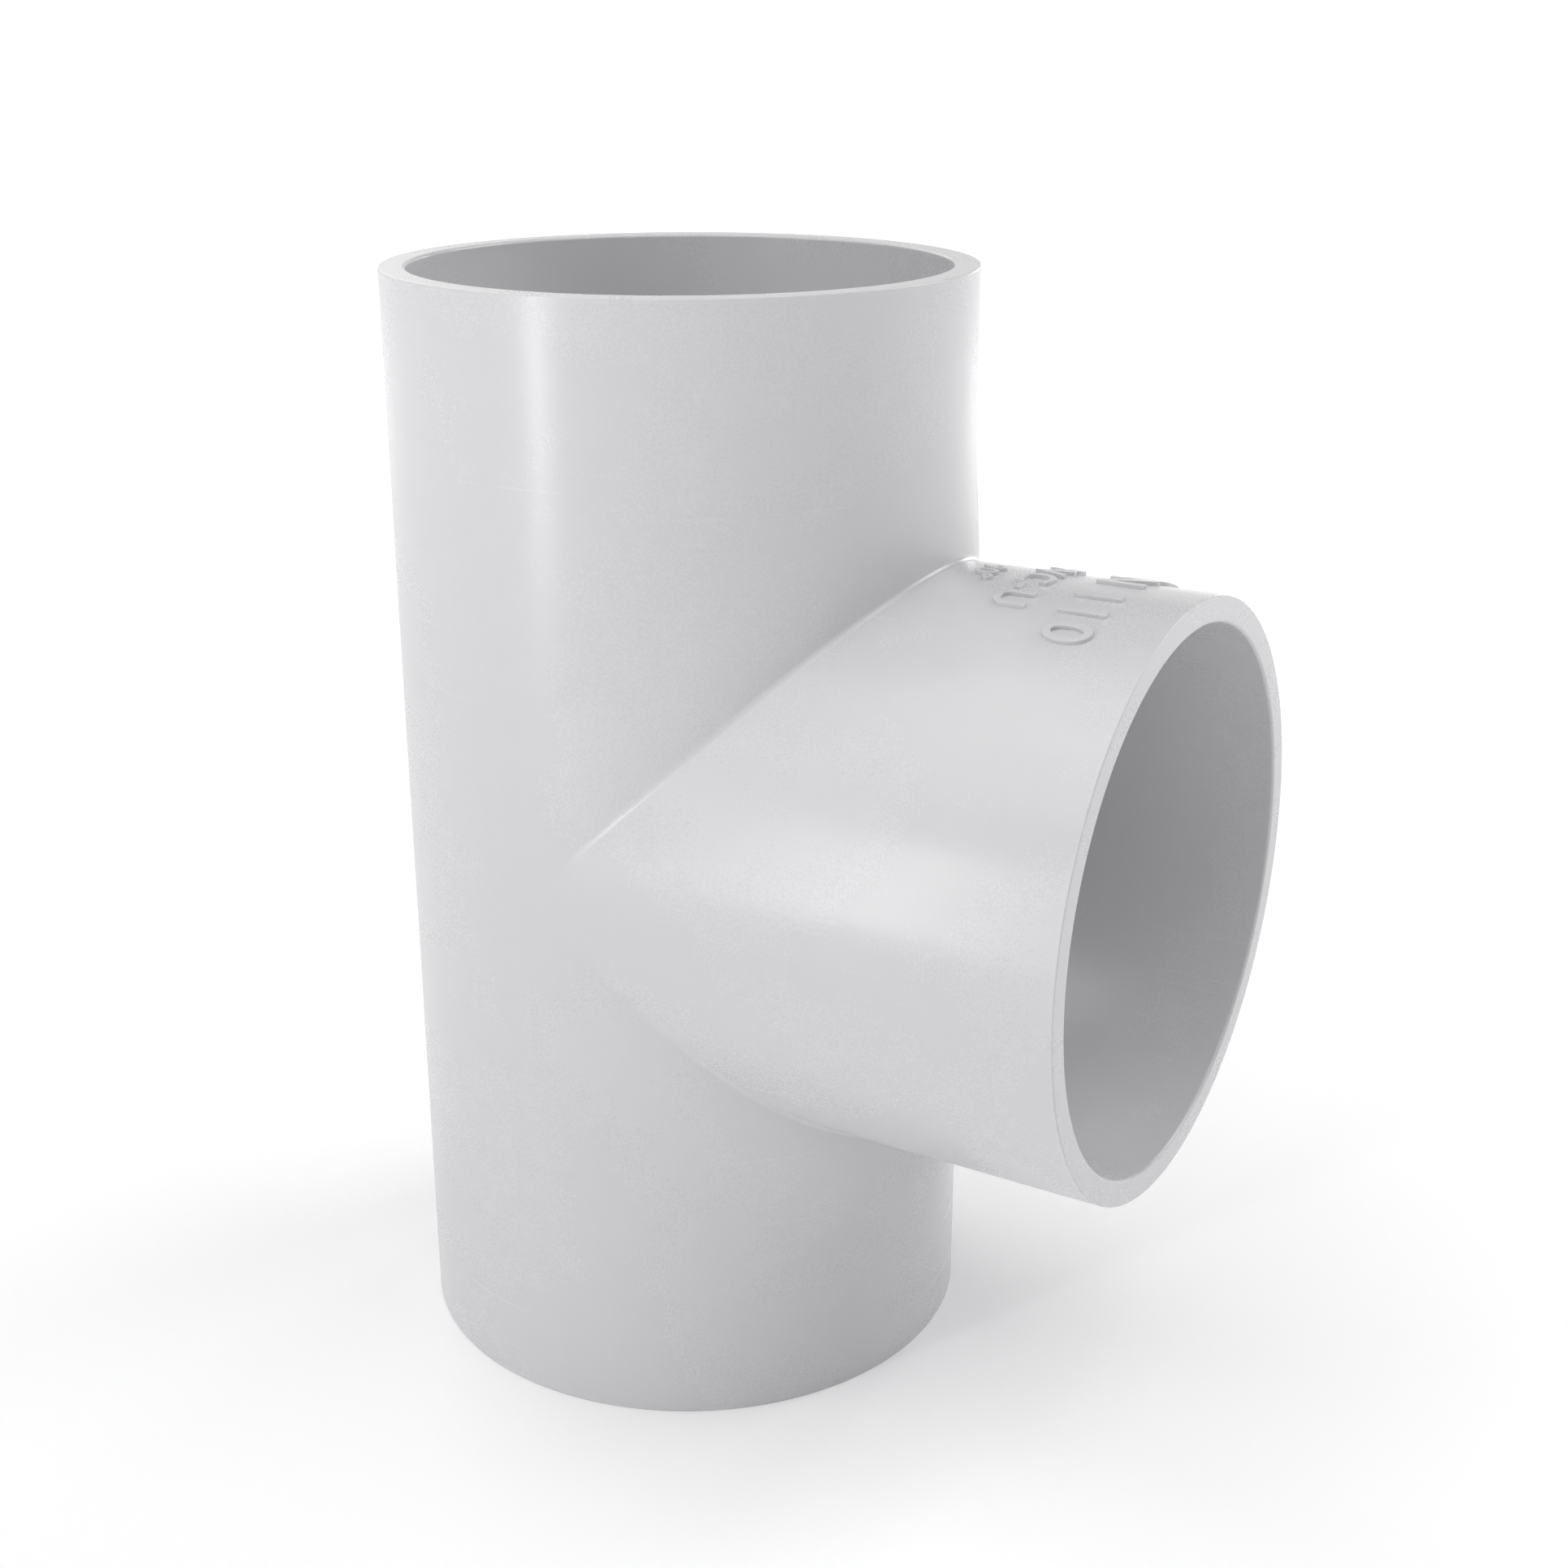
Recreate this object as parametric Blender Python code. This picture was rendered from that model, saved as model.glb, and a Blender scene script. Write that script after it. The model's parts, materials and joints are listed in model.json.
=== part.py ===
"""A 90 degree tee for 110 mm solvent-welded drain pipe: one moulding in rigid PVC.

The run stands along Z and the branch leaves it along +X at half height. All three mouths are alike:
a flat rim, a plain socket that a pipe is glued into, and a shoulder that stops the pipe.
The tee is drawn about the point where its axes cross, and then stood on the floor.
"""

import math

import bmesh
import bpy
from mathutils import Matrix, Vector

# Driving dimensions, in metres
PIPE_RADIUS = 0.055
SOCKET_CLEARANCE = 0.0001
SOCKET_WALL = 0.0054
SOCKET_DEPTH = 0.050
STOP_HEIGHT = 0.002
RUN_HALF = 0.1162  # from the crossing of the axes to either mouth of the run
BRANCH_REACH = 0.1139  # from the run's axis to the branch's mouth

# Where branch meets run: the corner's radius, how far the run's wall is drawn out along the branch
# (on the crown, on the flanks), and over what height of the run it is. The ridge is the same inside.
CREASE = {"fillet": 0.0012, "draw": (0.0012, 0.0030), "reach": 0.030}
RIDGE = {"fillet": 0.0012, "draw": (0.0, 0.0), "reach": 0.0}

# Other roundings
RIM_OUTER_ROUND = 0.0003
RIM_INNER_ROUND = 0.0007
STOP_ROUND = 0.0005

# Raised marks on the crown of the branch: text, height of a capital, how far the baseline is from
# the run's axis
MARKS = (
    ("DN 110", 0.0098, 0.0918),
    ("PVC-U", 0.0072, 0.0780),
    ("90°", 0.0048, 0.0682),
)
MARK_RAISE = 0.0008
MARK_ROOT = 0.0012  # how deep the letters reach into the wall
MARK_BOLDER = 0.0002  # added to each side of the letters' strokes
LETTER_SPACING = 1.12
CAPITAL_SHARE = 0.729  # a capital's height in the built-in font, as a share of the font's size
LETTER_CURVE_STEPS = 3

# How finely the round shapes are divided
HALF_TURN_STEPS = 36
FILLET_STEPS = 4
DRAW_STEPS = 6
ROUND_STEPS = 2
WELD = 0.000001

# Worked out from the above
SOCKET_RADIUS = PIPE_RADIUS + SOCKET_CLEARANCE
OUTER_RADIUS = SOCKET_RADIUS + SOCKET_WALL
WATERWAY_RADIUS = SOCKET_RADIUS - STOP_HEIGHT
STOP_END = SOCKET_DEPTH + STOP_ROUND
CROSSING = Vector(((OUTER_RADIUS - BRANCH_REACH) / 2, 0.0, RUN_HALF))

PVC_GREY = (0.60, 0.60, 0.615, 1.0)
PVC_ROUGHNESS = 0.34


def clear_scene():
    for item in list(bpy.data.objects):
        bpy.data.objects.remove(item, do_unlink=True)


def pvc_material():
    material = bpy.data.materials.new("grey_pvc")
    material.use_nodes = True
    shader = material.node_tree.nodes["Principled BSDF"]
    shader.inputs["Base Color"].default_value = PVC_GREY
    shader.inputs["Roughness"].default_value = PVC_ROUGHNESS
    shader.inputs["Metallic"].default_value = 0.0
    return material


def add_grid(bm, rows):
    """Joins each row of points to the next one with a strip of faces."""
    corners = [[bm.verts.new(point) for point in row] for row in rows]
    for here, there in zip(corners, corners[1:]):
        for k in range(len(here) - 1):
            bm.faces.new((here[k], here[k + 1], there[k + 1], there[k]))


def crease_shift(y, radius, crease):
    """How far the crease stands out along the branch: least on the crown, most on the flanks."""
    at_crown, at_flank = crease["draw"]
    return at_crown + (at_flank - at_crown) * (y / radius) ** 2


def crease_section(angle, radius, crease, side):
    """One section of the crease, parallel to XZ: the run's wall drawn out, then a quarter circle."""
    corner = radius * math.cos(angle)
    y = radius * math.sin(angle)
    shift = crease_shift(y, radius, crease)
    fillet = crease["fillet"]
    points = []
    for step in range(DRAW_STEPS):
        share = step / DRAW_STEPS
        x = corner + shift * share * share * (3 - 2 * share)
        z = corner + fillet + crease["reach"] * (1 - share)
        points.append(Vector((x, y, side * z)))
    for step in range(FILLET_STEPS + 1):
        turn = 0.5 * math.pi * step / FILLET_STEPS
        x = corner + shift + fillet * (1 - math.cos(turn))
        z = corner + fillet * (1 - math.sin(turn))
        points.append(Vector((x, y, side * z)))
    return points


def add_tee_skin(bm, radius, crease, run_end, branch_end):
    """The surface of two crossing cylinders with a rounded crease, open at its three ends."""
    for side in (1, -1):
        rows = []
        for step in range(HALF_TURN_STEPS + 1):
            angle = math.pi * (step / HALF_TURN_STEPS - 0.5)
            across = radius * math.cos(angle)
            along_y = radius * math.sin(angle)
            at_run_end = Vector((across, along_y, side * run_end))
            at_branch_end = Vector((branch_end, along_y, side * across))
            rows.append([at_run_end, *crease_section(angle, radius, crease, side), at_branch_end])
        add_grid(bm, rows)
    for flank in (-0.5 * math.pi, 0.5 * math.pi):
        upper = crease_section(flank, radius, crease, 1)
        lower = crease_section(flank, radius, crease, -1)
        outline = [*upper, *reversed(lower[:-1])]
        add_grid(bm, [(Vector((0.0, point.y, point.z)), point) for point in outline])
        heights = [run_end, *(point.z for point in outline), -run_end]
    back = []
    for step in range(HALF_TURN_STEPS + 1):
        angle = math.pi * (step / HALF_TURN_STEPS + 0.5)
        around = (radius * math.cos(angle), radius * math.sin(angle))
        back.append([Vector((*around, height)) for height in heights])
    add_grid(bm, back)


def arc(radius_at, depth_at, size, start, end):
    """Points (radius, depth) on an arc about (radius_at, depth_at), between two angles in degrees."""
    points = []
    for step in range(ROUND_STEPS + 1):
        angle = math.radians(start + (end - start) * step / ROUND_STEPS)
        points.append((radius_at + size * math.cos(angle), depth_at + size * math.sin(angle)))
    return points


def mouth_profile():
    """The section of a mouth as (radius, depth): rounded rim, socket wall, pipe stop."""
    outer_edge = arc(OUTER_RADIUS - RIM_OUTER_ROUND, RIM_OUTER_ROUND, RIM_OUTER_ROUND, 0, -90)
    inner_edge = arc(SOCKET_RADIUS + RIM_INNER_ROUND, RIM_INNER_ROUND, RIM_INNER_ROUND, -90, -180)
    stop_edge = arc(WATERWAY_RADIUS + STOP_ROUND, STOP_END, STOP_ROUND, -90, -180)
    return [*outer_edge, *inner_edge, (SOCKET_RADIUS, SOCKET_DEPTH), *stop_edge]


def mouth_places():
    """Where each mouth is: the centre of its rim, with local +Z pointing out of it."""
    top = Matrix.Translation((0.0, 0.0, RUN_HALF))
    bottom = Matrix.Translation((0.0, 0.0, -RUN_HALF)) @ Matrix.Rotation(math.pi, 4, "X")
    branch = Matrix.Translation((BRANCH_REACH, 0.0, 0.0)) @ Matrix.Rotation(math.pi / 2, 4, "Y")
    return (top, bottom, branch)


def add_mouth(bm, place):
    """A mouth's profile turned about its axis: it joins the outer skin to the waterway."""
    rows = []
    for step in range(2 * HALF_TURN_STEPS + 1):
        angle = math.pi * step / HALF_TURN_STEPS
        across = (math.cos(angle), math.sin(angle))
        rows.append(
            [place @ Vector((r * across[0], r * across[1], -depth)) for r, depth in mouth_profile()]
        )
    add_grid(bm, rows)


def finish_mesh(bm, name, material):
    """Welds the seams, turns the faces outwards and shades the round surfaces smooth."""
    bmesh.ops.remove_doubles(bm, verts=bm.verts, dist=WELD)
    bmesh.ops.recalc_face_normals(bm, faces=bm.faces)
    mesh = bpy.data.meshes.new(name)
    bm.to_mesh(mesh)
    bm.free()
    mesh.materials.append(material)
    mesh.shade_smooth()
    mesh.set_sharp_from_angle(angle=math.radians(30))
    return mesh


def add_object(name, mesh):
    item = bpy.data.objects.new(name, mesh)
    item.location = CROSSING
    bpy.context.scene.collection.objects.link(item)
    return item


def make_body(material):
    bm = bmesh.new()
    outer_ends = (RUN_HALF - RIM_OUTER_ROUND, BRANCH_REACH - RIM_OUTER_ROUND)
    waterway_ends = (RUN_HALF - STOP_END, BRANCH_REACH - STOP_END)
    add_tee_skin(bm, OUTER_RADIUS, CREASE, *outer_ends)
    add_tee_skin(bm, WATERWAY_RADIUS, RIDGE, *waterway_ends)
    for place in mouth_places():
        add_mouth(bm, place)
    return add_object("tee_body", finish_mesh(bm, "tee_body", material))


def flat_letters(text, capital):
    """A line of text as a flat mesh in X and Y, thick along Z and centred on the origin."""
    font = bpy.data.curves.new("letters", "FONT")
    font.body = text
    font.size = capital / CAPITAL_SHARE
    font.extrude = (MARK_RAISE + MARK_ROOT) / 2
    font.offset = MARK_BOLDER
    font.space_character = LETTER_SPACING
    font.align_x = "CENTER"
    font.resolution_u = LETTER_CURVE_STEPS
    line = bpy.data.objects.new("letters", font)
    mesh = bpy.data.meshes.new_from_object(line)
    bpy.data.objects.remove(line)
    return mesh


def add_mark(bm, text, capital, baseline):
    """Wraps a line of text over the crown of the branch, capitals towards its mouth."""
    first = len(bm.verts)
    flat = flat_letters(text, capital)
    bm.from_mesh(flat)
    bm.verts.ensure_lookup_table()
    middle = OUTER_RADIUS + (MARK_RAISE - MARK_ROOT) / 2
    for vert in bm.verts[first:]:
        angle = vert.co.x / OUTER_RADIUS
        radius = middle + vert.co.z
        vert.co = Vector((baseline + vert.co.y, -radius * math.sin(angle), radius * math.cos(angle)))
    bpy.data.meshes.remove(flat)


def make_marks(material):
    """The raised marks as one guide object, which the body takes in."""
    bm = bmesh.new()
    for text, capital, baseline in MARKS:
        add_mark(bm, text, capital, baseline)
    marks = add_object("raised_marks", finish_mesh(bm, "raised_marks", material))
    marks.hide_render = True
    marks.display_type = "WIRE"
    return marks


def join_marks(body, marks):
    union = body.modifiers.new("raised_marks", "BOOLEAN")
    union.operation = "UNION"
    union.solver = "EXACT"
    union.object = marks


def main():
    clear_scene()
    material = pvc_material()
    body = make_body(material)
    join_marks(body, make_marks(material))


main()
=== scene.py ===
"""The looks of a grey PVC drain tee: surface, material, pale floor, soft lights and camera."""

import json
import math

import bmesh
import bpy
from mathutils import Matrix, Vector

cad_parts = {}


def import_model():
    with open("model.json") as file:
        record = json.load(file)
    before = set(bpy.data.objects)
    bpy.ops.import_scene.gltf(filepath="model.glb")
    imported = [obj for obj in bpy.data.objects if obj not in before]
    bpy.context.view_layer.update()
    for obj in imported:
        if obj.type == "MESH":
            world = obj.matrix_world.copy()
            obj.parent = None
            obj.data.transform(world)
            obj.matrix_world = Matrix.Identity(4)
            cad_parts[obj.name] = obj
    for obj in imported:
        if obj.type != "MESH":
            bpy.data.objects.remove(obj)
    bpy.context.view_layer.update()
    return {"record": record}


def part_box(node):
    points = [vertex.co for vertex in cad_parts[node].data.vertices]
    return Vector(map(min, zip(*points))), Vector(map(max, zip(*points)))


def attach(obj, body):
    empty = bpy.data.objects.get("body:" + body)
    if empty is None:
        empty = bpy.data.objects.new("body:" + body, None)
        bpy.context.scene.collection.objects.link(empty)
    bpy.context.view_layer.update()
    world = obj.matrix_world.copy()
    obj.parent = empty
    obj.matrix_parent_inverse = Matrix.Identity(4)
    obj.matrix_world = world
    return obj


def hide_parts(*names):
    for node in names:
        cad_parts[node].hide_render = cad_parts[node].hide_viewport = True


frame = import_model()

# The tee's size, from the frame, in metres
NODE = "tee_body"
LOW, HIGH = (Vector(corner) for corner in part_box(NODE))
MOUNTS = {mount["name"]: mount for mount in frame["record"]["mounts"]}
OUTER_RADIUS = (HIGH.y - LOW.y) / 2
RUN_HALF = (HIGH.z - LOW.z) / 2
CROSSING = Vector((LOW.x + OUTER_RADIUS, 0.0, LOW.z + RUN_HALF))
BRANCH_REACH = HIGH.x - CROSSING.x
SOCKET_RADIUS = MOUNTS["top_pipe_stop"]["dims"]["r_mm"] / 1000
SOCKET_DEPTH = MOUNTS["top_pipe_stop"]["dims"]["length_mm"] / 1000
STOP_HEIGHT = 0.002
WATERWAY_RADIUS = SOCKET_RADIUS - STOP_HEIGHT

# Where branch meets run, as on the solid: the corner's radius, how far the run's wall is drawn out
# (on the crown, on the flanks), and over what height of the run it is. The ridge is the same inside.
CREASE = {"fillet": 0.0012, "draw": (0.0012, 0.0030), "reach": 0.030}
RIDGE = {"fillet": 0.0012, "draw": (0.0, 0.0), "reach": 0.0}

# Other roundings, as on the solid
RIM_OUTER_ROUND = 0.0003
RIM_INNER_ROUND = 0.0007
STOP_ROUND = 0.0005
STOP_END = SOCKET_DEPTH + STOP_ROUND

# Raised marks: text, height of a capital, how far the baseline is from the run's axis
MARKS = (
    ("DN 110", 0.0098, 0.0918),
    ("PVC-U", 0.0072, 0.0780),
    ("90°", 0.0048, 0.0682),
)
MARK_RAISE = 0.0008
MARK_ROOT = 0.0012
MARK_BOLDER = 0.0002
MARK_BEVEL = 0.00012
LETTER_SPACING = 1.12
CAPITAL_SHARE = 0.729
LETTER_CURVE_STEPS = 8
LETTER_SLICE = 0.001  # width of the strips the letters are cut into, so that they bend smoothly

# How finely the round shapes are divided
HALF_TURN_STEPS = 96
FILLET_STEPS = 8
DRAW_STEPS = 16
ROUND_STEPS = 5
WELD = 0.000001
WALL_TOLERANCE = 0.00003
SHARP_DEGREES = 35.0

# Camera: angles in degrees, distances in metres from the crossing of the tee's axes
CAMERA_AZIMUTH = 30.65
CAMERA_ELEVATION = 19.86
CAMERA_DISTANCE = 7.8187 * OUTER_RADIUS
CAMERA_AIM_RIGHT = 0.3438 * OUTER_RADIUS
CAMERA_AIM_UP = 0.0583 * OUTER_RADIUS
CAMERA_LENS = 49.23  # millimetres, as is the sensor's width
CAMERA_SENSOR = 36.0

# Material: its textures (features to the metre, detail), and how much each one changes the tone
# and the roughness, and how deep its relief is in metres
PVC_COLOUR = (0.607, 0.606, 0.627)
PVC_ROUGHNESS = 0.27
CLOUDS = (24.0, 3.0)
MOTTLE = (170.0, 4.0)
SPECKS = (2400.0, 2.0)
PEBBLING = (420.0, 2.0)
GRAIN = (3000.0, 1.0)
WEAR_PATCHES = (95.0, 6.0)
SCUFF_STRETCH = (14.0, 14.0, 900.0)
RIM_WEAR_DEPTH = 0.0014
TONE = {"clouds": 0.007, "mottle": 0.004, "specks": 0.005, "wear": 0.008}
MEAN_TONE = 0.995
ROUGHER = {"clouds": 0.015, "specks": 0.008, "scuffs": 0.018, "wear": 0.03}
RELIEF = {"pebbling": 0.000006, "grain": 0.0000012, "wear": 0.000002}

# Soft lights, very slightly warm: azimuth and elevation in degrees, size in metres, watts
LIGHT_DISTANCE = 1.5
LIGHT_COLOUR = (1.0, 0.997, 0.985)
LIGHTS = (
    ("front_high", -20.0, 58.0, 0.9, 4.2),
    ("front_left", -40.0, 30.0, 0.9, 3.0),
    ("left_high", -80.0, 58.0, 0.9, 2.4),
    ("front_right", 40.0, 30.0, 1.1, 3.9),
    ("right_high", 100.0, 58.0, 0.9, 3.6),
    ("overhead", 0.0, 88.0, 1.4, 7.5),
    ("back_right", 140.0, 30.0, 0.9, 8.8),
    ("back_left", 240.0, 30.0, 1.1, 4.9),
    ("back_low", 180.0, 7.0, 0.3, 2.4),
)

# Upright panels standing on the floor: azimuth, distance, width and height, watts
PANELS = (
    ("streak", -20.0, 0.9, (0.06, 0.50), 1.7),
    ("backdrop", 210.0, 3.0, (2.4, 1.20), 7.0),
)

# Floor: how strongly it glows near the tee and far from it, and at what distances that changes
FLOOR_RADIUS = 30.0
FLOOR_SEGMENTS = 128
FLOOR_COLOUR = (0.9, 0.903, 0.914, 1.0)
FLOOR_GLOW = (0.10, 1.0)
FLOOR_GLOW_REACH = (0.4, 1.8)


def add_grid(bm, rows):
    """Joins each row of points to the next one with a strip of faces."""
    corners = [[bm.verts.new(point) for point in row] for row in rows]
    for here, there in zip(corners, corners[1:]):
        for k in range(len(here) - 1):
            bm.faces.new((here[k], here[k + 1], there[k + 1], there[k]))


def crease_shift(y, radius, crease):
    """How far the crease stands out along the branch: least on the crown, most on the flanks."""
    at_crown, at_flank = crease["draw"]
    return at_crown + (at_flank - at_crown) * (y / radius) ** 2


def crease_section(angle, radius, crease, side):
    """One section of the crease, parallel to XZ: the run's wall drawn out, then a quarter circle."""
    corner = radius * math.cos(angle)
    y = radius * math.sin(angle)
    shift = crease_shift(y, radius, crease)
    fillet = crease["fillet"]
    points = []
    for step in range(DRAW_STEPS):
        share = step / DRAW_STEPS
        x = corner + shift * share * share * (3 - 2 * share)
        z = corner + fillet + crease["reach"] * (1 - share)
        points.append(Vector((x, y, side * z)))
    for step in range(FILLET_STEPS + 1):
        turn = 0.5 * math.pi * step / FILLET_STEPS
        x = corner + shift + fillet * (1 - math.cos(turn))
        z = corner + fillet * (1 - math.sin(turn))
        points.append(Vector((x, y, side * z)))
    return points


def add_tee_skin(bm, radius, crease, run_end, branch_end):
    """The surface of two crossing cylinders with a rounded crease, open at its three ends."""
    for side in (1, -1):
        rows = []
        for step in range(HALF_TURN_STEPS + 1):
            angle = math.pi * (step / HALF_TURN_STEPS - 0.5)
            across = radius * math.cos(angle)
            along_y = radius * math.sin(angle)
            at_run_end = Vector((across, along_y, side * run_end))
            at_branch_end = Vector((branch_end, along_y, side * across))
            rows.append([at_run_end, *crease_section(angle, radius, crease, side), at_branch_end])
        add_grid(bm, rows)
    for flank in (-0.5 * math.pi, 0.5 * math.pi):
        upper = crease_section(flank, radius, crease, 1)
        lower = crease_section(flank, radius, crease, -1)
        outline = [*upper, *reversed(lower[:-1])]
        add_grid(bm, [(Vector((0.0, point.y, point.z)), point) for point in outline])
        heights = [run_end, *(point.z for point in outline), -run_end]
    back = []
    for step in range(HALF_TURN_STEPS + 1):
        angle = math.pi * (step / HALF_TURN_STEPS + 0.5)
        around = (radius * math.cos(angle), radius * math.sin(angle))
        back.append([Vector((*around, height)) for height in heights])
    add_grid(bm, back)


def arc(radius_at, depth_at, size, start, end):
    """Points (radius, depth) on an arc about (radius_at, depth_at), between two angles in degrees."""
    points = []
    for step in range(ROUND_STEPS + 1):
        angle = math.radians(start + (end - start) * step / ROUND_STEPS)
        points.append((radius_at + size * math.cos(angle), depth_at + size * math.sin(angle)))
    return points


def mouth_profile():
    """The section of a mouth as (radius, depth): rounded rim, socket wall, pipe stop."""
    outer_edge = arc(OUTER_RADIUS - RIM_OUTER_ROUND, RIM_OUTER_ROUND, RIM_OUTER_ROUND, 0, -90)
    inner_edge = arc(SOCKET_RADIUS + RIM_INNER_ROUND, RIM_INNER_ROUND, RIM_INNER_ROUND, -90, -180)
    stop_edge = arc(WATERWAY_RADIUS + STOP_ROUND, STOP_END, STOP_ROUND, -90, -180)
    return [*outer_edge, *inner_edge, (SOCKET_RADIUS, SOCKET_DEPTH), *stop_edge]


def mouth_places():
    """Where each mouth is: the centre of its rim, with local +Z pointing out of it."""
    top = Matrix.Translation((0.0, 0.0, RUN_HALF))
    bottom = Matrix.Translation((0.0, 0.0, -RUN_HALF)) @ Matrix.Rotation(math.pi, 4, "X")
    branch = Matrix.Translation((BRANCH_REACH, 0.0, 0.0)) @ Matrix.Rotation(math.pi / 2, 4, "Y")
    return (top, bottom, branch)


def add_mouth(bm, place):
    """A mouth's profile turned about its axis: it joins the outer skin to the waterway."""
    profile = mouth_profile()
    rows = []
    for step in range(2 * HALF_TURN_STEPS + 1):
        angle = math.pi * step / HALF_TURN_STEPS
        across = (math.cos(angle), math.sin(angle))
        rows.append([place @ Vector((r * across[0], r * across[1], -depth)) for r, depth in profile])
    add_grid(bm, rows)


def to_mesh(bm, name):
    """Welds the seams, turns the faces outwards and moves the shape to where the tee stands."""
    bmesh.ops.remove_doubles(bm, verts=bm.verts, dist=WELD)
    bmesh.ops.recalc_face_normals(bm, faces=bm.faces)
    bm.transform(Matrix.Translation(CROSSING))
    mesh = bpy.data.meshes.new(name)
    bm.to_mesh(mesh)
    bm.free()
    return mesh


def body_mesh():
    bm = bmesh.new()
    outer_ends = (RUN_HALF - RIM_OUTER_ROUND, BRANCH_REACH - RIM_OUTER_ROUND)
    waterway_ends = (RUN_HALF - STOP_END, BRANCH_REACH - STOP_END)
    add_tee_skin(bm, OUTER_RADIUS, CREASE, *outer_ends)
    add_tee_skin(bm, WATERWAY_RADIUS, RIDGE, *waterway_ends)
    for place in mouth_places():
        add_mouth(bm, place)
    return to_mesh(bm, "tee")


def flat_letters(text, capital):
    """A line of text as a flat mesh in X and Y, thick along Z and centred on the origin."""
    font = bpy.data.curves.new("letters", "FONT")
    font.body = text
    font.size = capital / CAPITAL_SHARE
    font.extrude = (MARK_RAISE + MARK_ROOT) / 2 - MARK_BEVEL
    font.bevel_depth = MARK_BEVEL
    font.bevel_resolution = 2
    font.offset = MARK_BOLDER - MARK_BEVEL
    font.space_character = LETTER_SPACING
    font.align_x = "CENTER"
    font.resolution_u = LETTER_CURVE_STEPS
    line = bpy.data.objects.new("letters", font)
    mesh = bpy.data.meshes.new_from_object(line)
    bpy.data.objects.remove(line)
    return mesh


def add_mark(bm, text, capital, baseline):
    """Wraps a line of text over the crown of the branch, capitals towards its mouth."""
    flat = flat_letters(text, capital)
    line = bmesh.new()
    line.from_mesh(flat)
    bmesh.ops.remove_doubles(line, verts=line.verts, dist=WELD)
    half = max(abs(vert.co.x) for vert in line.verts)
    slices = int(half / LETTER_SLICE)
    for k in range(-slices, slices + 1):
        everything = [*line.verts, *line.edges, *line.faces]
        cut = (k * LETTER_SLICE, 0, 0)
        bmesh.ops.bisect_plane(line, geom=everything, plane_co=cut, plane_no=(1, 0, 0))
    middle = OUTER_RADIUS + (MARK_RAISE - MARK_ROOT) / 2
    for vert in line.verts:
        angle = vert.co.x / OUTER_RADIUS
        radius = middle + vert.co.z
        vert.co = Vector((baseline + vert.co.y, -radius * math.sin(angle), radius * math.cos(angle)))
    line.to_mesh(flat)
    line.free()
    bm.from_mesh(flat)
    bpy.data.meshes.remove(flat)


def marks_mesh():
    bm = bmesh.new()
    for text, capital, baseline in MARKS:
        add_mark(bm, text, capital, baseline)
    return to_mesh(bm, "marks")


def add_object(name, mesh):
    item = bpy.data.objects.new(name, mesh)
    bpy.context.scene.collection.objects.link(item)
    return item


def baked(item):
    """The object's mesh with its modifiers applied."""
    bpy.context.view_layer.update()
    return bpy.data.meshes.new_from_object(item.evaluated_get(bpy.context.evaluated_depsgraph_get()))


def on_branch_wall(point):
    """True on the branch's plain outer wall, between the crease and the rim's rounding."""
    radius = math.hypot(point.y, point.z)
    crease_edge = abs(point.z) + crease_shift(point.y, OUTER_RADIUS, CREASE) + CREASE["fillet"]
    rim_edge = BRANCH_REACH - RIM_OUTER_ROUND
    in_reach = crease_edge - WALL_TOLERANCE < point.x < rim_edge + WALL_TOLERANCE
    return in_reach and abs(radius - OUTER_RADIUS) < WALL_TOLERANCE


def round_off_branch_wall(mesh):
    """Gives the wall round the marks a true cylinder's normals, though the letters cut its faces."""
    normals = [corner.vector.copy() for corner in mesh.corner_normals]
    for face in mesh.polygons:
        points = [mesh.vertices[k].co - CROSSING for k in face.vertices]
        if all(on_branch_wall(point) for point in points):
            for loop, point in zip(face.loop_indices, points):
                normals[loop] = Vector((0.0, point.y, point.z)).normalized()
    mesh.normals_split_custom_set(normals)


def moulding():
    """The whole tee as one closed surface, with its marks grown into the branch."""
    tee = add_object("tee", body_mesh())
    marks = add_object("marks", marks_mesh())
    union = tee.modifiers.new("marks", "BOOLEAN")
    union.operation = "UNION"
    union.solver = "MANIFOLD"
    union.object = marks
    tee.data = baked(tee)
    tee.modifiers.clear()
    bpy.data.objects.remove(marks)
    tee.data.shade_smooth()
    tee.data.set_sharp_from_angle(angle=math.radians(SHARP_DEGREES))
    weighted = tee.modifiers.new("flat_faces_lead", "WEIGHTED_NORMAL")
    weighted.keep_sharp = True
    tee.data = baked(tee)
    tee.modifiers.clear()
    round_off_branch_wall(tee.data)
    return tee


def noise(tree, place, scale, detail):
    """Cloudy noise about 0.5, with roughly that many clouds to the metre."""
    texture = tree.nodes.new("ShaderNodeTexNoise")
    texture.inputs["Scale"].default_value = scale
    texture.inputs["Detail"].default_value = detail
    tree.links.new(place, texture.inputs["Vector"])
    return texture.outputs["Fac"]


def stretched(tree, place, scale):
    """The same place with its three axes scaled, to draw noise out into streaks."""
    mapping = tree.nodes.new("ShaderNodeMapping")
    mapping.inputs["Scale"].default_value = scale
    tree.links.new(place, mapping.inputs["Vector"])
    return mapping.outputs["Vector"]


def spread(tree, value, start, end, low, high):
    """Values from start to end become low to high, and those beyond them stay at the ends."""
    ramp = tree.nodes.new("ShaderNodeMapRange")
    ramp.interpolation_type = "SMOOTHSTEP"
    for name, number in zip(("From Min", "From Max", "To Min", "To Max"), (start, end, low, high)):
        ramp.inputs[name].default_value = number
    tree.links.new(value, ramp.inputs["Value"])
    return ramp.outputs["Result"]


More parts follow.
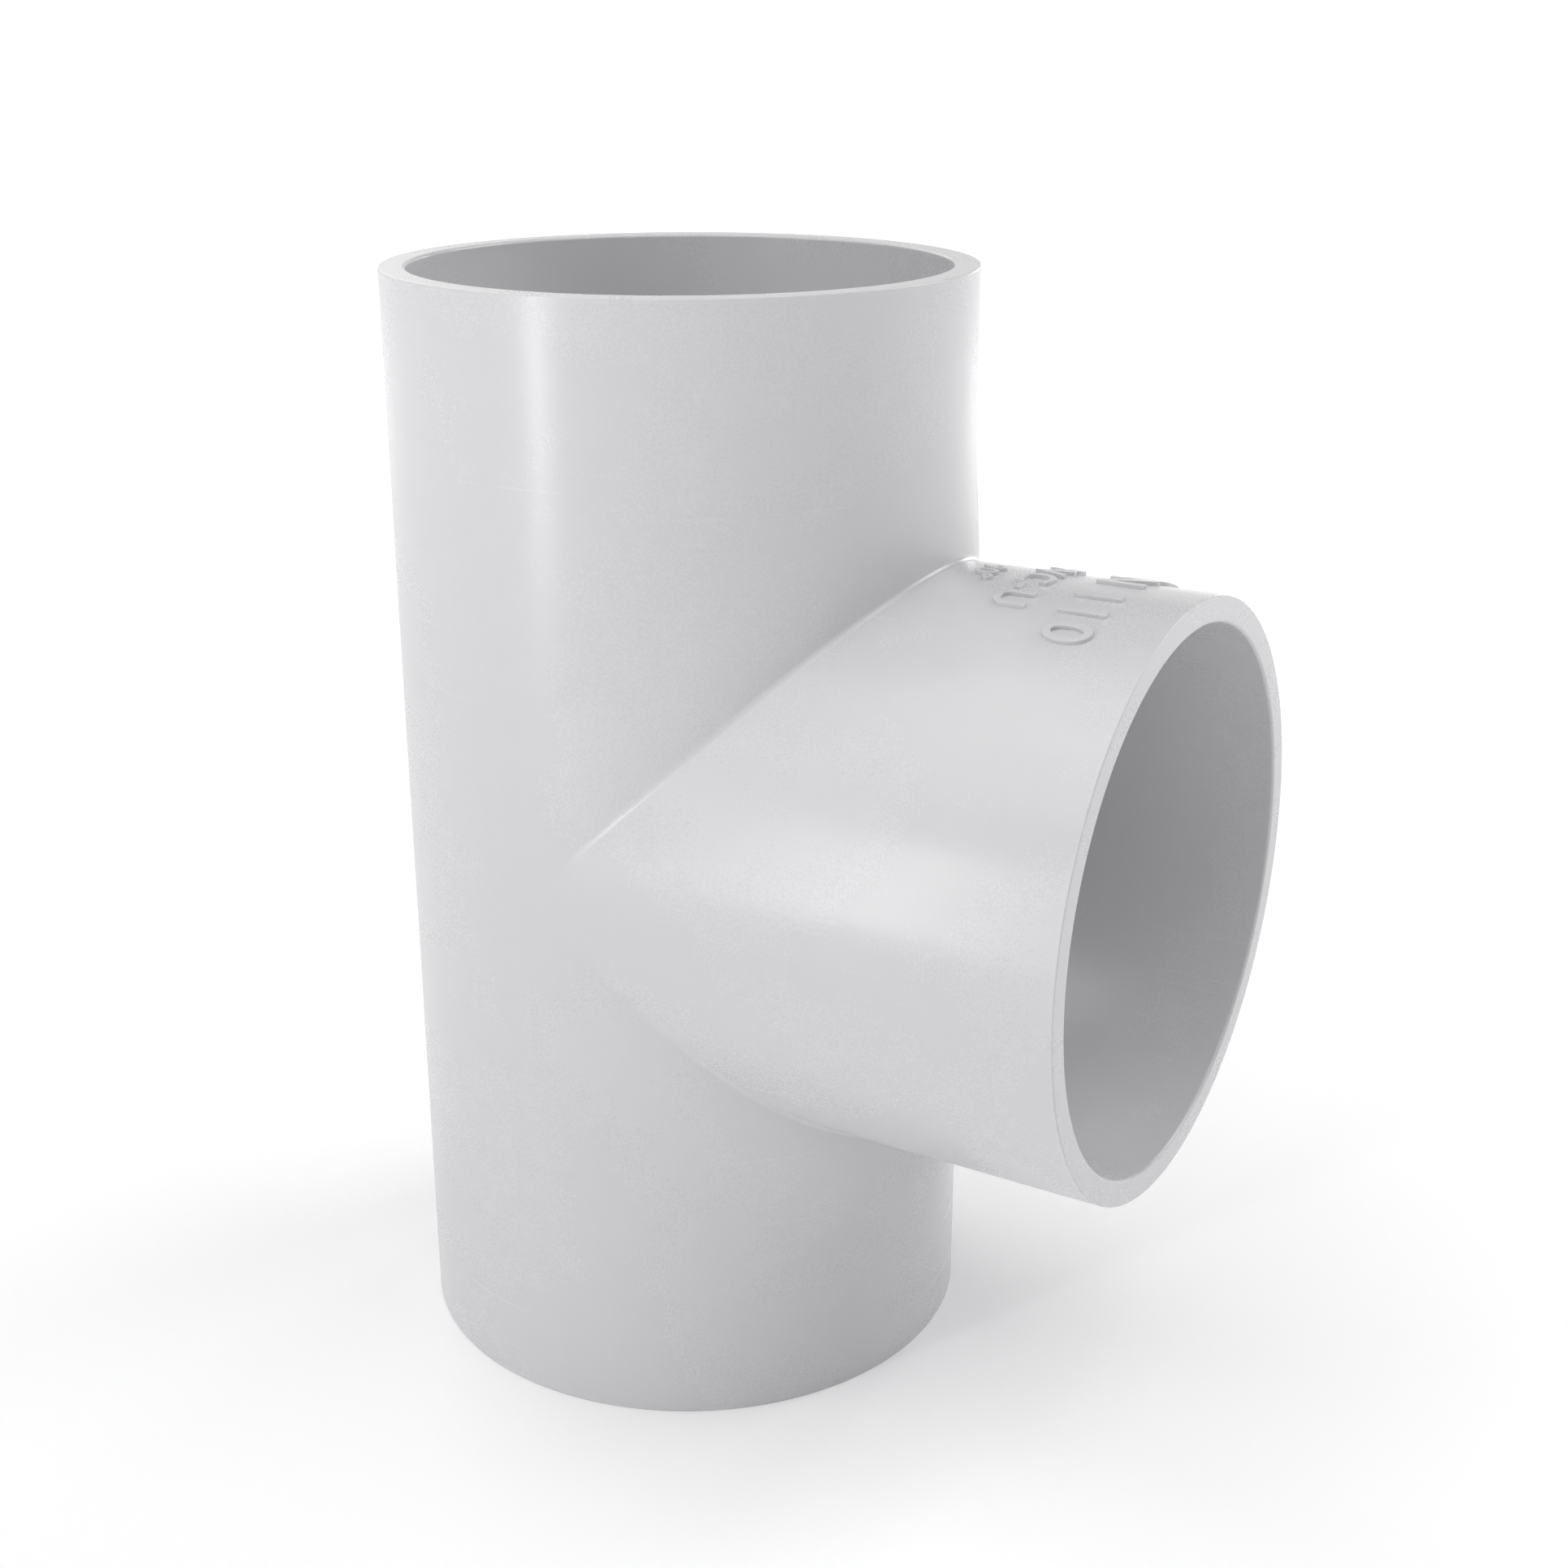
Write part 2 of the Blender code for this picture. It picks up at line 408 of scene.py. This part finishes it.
def swing(tree, texture, size):
    """A texture that is about 0.5 turned into one that swings by that much to either side of 0."""
    return spread(tree, texture, 0.3, 0.7, -size, size)


def maths(tree, operation, *values):
    """One arithmetic step on sockets or plain numbers."""
    step = tree.nodes.new("ShaderNodeMath")
    step.operation = operation
    for socket, value in zip(step.inputs, values):
        if isinstance(value, float):
            socket.default_value = value
        else:
            tree.links.new(value, socket)
    return step.outputs["Value"]


def total(tree, *values):
    """The sum of sockets and plain numbers."""
    result = values[0]
    for value in values[1:]:
        result = maths(tree, "ADD", result, value)
    return result


def rim_nearness(tree, place):
    """1 on the three rims, fading to 0 a little way down the walls."""
    split = tree.nodes.new("ShaderNodeSeparateXYZ")
    tree.links.new(place, split.inputs["Vector"])
    from_middle = maths(tree, "ABSOLUTE", maths(tree, "SUBTRACT", split.outputs["Z"], CROSSING.z))
    run_depth = maths(tree, "SUBTRACT", RUN_HALF, from_middle)
    branch_depth = maths(tree, "SUBTRACT", HIGH.x, split.outputs["X"])
    return spread(tree, maths(tree, "MINIMUM", run_depth, branch_depth), 0.0, RIM_WEAR_DEPTH, 1.0, 0.0)


def bump(tree, height, depth, under=None):
    """Relief of that depth in metres, over another relief if there is one."""
    relief = tree.nodes.new("ShaderNodeBump")
    relief.inputs["Distance"].default_value = depth
    tree.links.new(height, relief.inputs["Height"])
    if under:
        tree.links.new(under, relief.inputs["Normal"])
    return relief.outputs["Normal"]


def pvc():
    """Rigid grey PVC as it leaves the mould: cloudy, faintly pebbled, rubbed at the rims."""
    material = bpy.data.materials.new("grey_pvc")
    material.use_nodes = True
    tree = material.node_tree
    shader = tree.nodes["Principled BSDF"]
    place = tree.nodes.new("ShaderNodeTexCoord").outputs["Object"]

    clouds = noise(tree, place, *CLOUDS)
    specks = noise(tree, place, *SPECKS)
    streaks = noise(tree, stretched(tree, place, SCUFF_STRETCH), 1.0, 5.0)
    scuffs = spread(tree, streaks, 0.62, 0.78, 0.0, 1.0)
    patches = spread(tree, noise(tree, place, *WEAR_PATCHES), 0.42, 0.66, 0.0, 1.0)
    wear = maths(tree, "MULTIPLY", rim_nearness(tree, place), patches)

    tone = total(
        tree,
        swing(tree, clouds, TONE["clouds"]),
        swing(tree, noise(tree, place, *MOTTLE), TONE["mottle"]),
        swing(tree, specks, TONE["specks"]),
        maths(tree, "MULTIPLY", wear, TONE["wear"]),
        MEAN_TONE,
    )
    colour = tree.nodes.new("ShaderNodeVectorMath")
    colour.operation = "SCALE"
    colour.inputs[0].default_value = PVC_COLOUR
    tree.links.new(tone, colour.inputs["Scale"])
    tree.links.new(colour.outputs["Vector"], shader.inputs["Base Color"])

    roughness = total(
        tree,
        swing(tree, clouds, ROUGHER["clouds"]),
        swing(tree, specks, ROUGHER["specks"]),
        maths(tree, "MULTIPLY", scuffs, ROUGHER["scuffs"]),
        maths(tree, "MULTIPLY", wear, ROUGHER["wear"]),
        PVC_ROUGHNESS,
    )
    tree.links.new(roughness, shader.inputs["Roughness"])

    relief = bump(tree, noise(tree, place, *PEBBLING), RELIEF["pebbling"])
    relief = bump(tree, noise(tree, place, *GRAIN), RELIEF["grain"], relief)
    relief = bump(tree, wear, RELIEF["wear"], relief)
    tree.links.new(relief, shader.inputs["Normal"])
    return material


def floor_material():
    """A pale floor that glows a little, and more towards its far edge, like a lit studio sweep."""
    material = bpy.data.materials.new("pale_floor")
    material.use_nodes = True
    tree = material.node_tree
    shader = tree.nodes["Principled BSDF"]
    shader.inputs["Base Color"].default_value = FLOOR_COLOUR
    shader.inputs["Roughness"].default_value = 0.9
    shader.inputs["Emission Color"].default_value = (1.0, 1.0, 1.0, 1.0)
    distance = tree.nodes.new("ShaderNodeVectorMath")
    distance.operation = "LENGTH"
    place = tree.nodes.new("ShaderNodeTexCoord").outputs["Object"]
    tree.links.new(place, distance.inputs[0])
    glow = spread(tree, distance.outputs["Value"], *FLOOR_GLOW_REACH, *FLOOR_GLOW)
    tree.links.new(glow, shader.inputs["Emission Strength"])
    return material


def floor():
    bm = bmesh.new()
    bmesh.ops.create_circle(bm, cap_ends=True, radius=FLOOR_RADIUS, segments=FLOOR_SEGMENTS)
    mesh = bpy.data.meshes.new("floor")
    bm.to_mesh(mesh)
    bm.free()
    item = add_object("floor", mesh)
    mesh.materials.append(floor_material())


def direction(azimuth, elevation):
    """The way from the tee to something at those angles in degrees, azimuth 0 being at -Y."""
    turn = math.radians(azimuth)
    rise = math.radians(elevation)
    return Vector((math.sin(turn) * math.cos(rise), -math.cos(turn) * math.cos(rise), math.sin(rise)))


def add_lamp(name, place, away, watts):
    """An area lamp that shines back along away, and isn't seen itself."""
    lamp = bpy.data.lights.new(name, "AREA")
    lamp.energy = watts
    lamp.color = LIGHT_COLOUR
    item = bpy.data.objects.new(name, lamp)
    item.location = place
    item.rotation_euler = away.to_track_quat("Z", "Y").to_euler()
    item.visible_camera = False
    bpy.context.scene.collection.objects.link(item)
    return lamp


def add_light(name, azimuth, elevation, size, watts):
    """A soft round light aimed at the tee."""
    away = direction(azimuth, elevation)
    lamp = add_lamp(name, CROSSING + LIGHT_DISTANCE * away, away, watts)
    lamp.shape = "DISK"
    lamp.size = size


def add_panel(name, azimuth, distance, size, watts):
    """An upright light standing on the floor and facing the tee."""
    away = direction(azimuth, 0.0)
    middle = Vector((CROSSING.x, 0.0, size[1] / 2))
    lamp = add_lamp(name, middle + distance * away, away, watts)
    lamp.shape = "RECTANGLE"
    lamp.size, lamp.size_y = size


def world():
    """A white backdrop that is seen but lights nothing: the lamps and the floor do that."""
    sky = bpy.data.worlds.new("studio")
    sky.use_nodes = True
    background = sky.node_tree.nodes["Background"]
    background.inputs["Color"].default_value = (1.0, 1.0, 1.0, 1.0)
    bpy.context.scene.world = sky
    sky.cycles_visibility.diffuse = False
    sky.cycles_visibility.glossy = False
    bpy.context.scene.view_settings.view_transform = "Standard"


def camera():
    lens = bpy.data.cameras.new("camera")
    lens.lens = CAMERA_LENS
    lens.sensor_width = CAMERA_SENSOR
    item = bpy.data.objects.new("camera", lens)
    away = direction(CAMERA_AZIMUTH, CAMERA_ELEVATION)
    turn = away.to_track_quat("Z", "Y")
    aim = CROSSING + turn @ Vector((CAMERA_AIM_RIGHT, CAMERA_AIM_UP, 0.0))
    item.location = aim + CAMERA_DISTANCE * away
    item.rotation_euler = turn.to_euler()
    bpy.context.scene.collection.objects.link(item)
    bpy.context.scene.camera = item


camera()
tee = moulding()
tee.data.materials.clear()
tee.data.materials.append(pvc())
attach(tee, "root")
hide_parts(NODE)
floor()
world()
for light in LIGHTS:
    add_light(*light)
for panel in PANELS:
    add_panel(*panel)
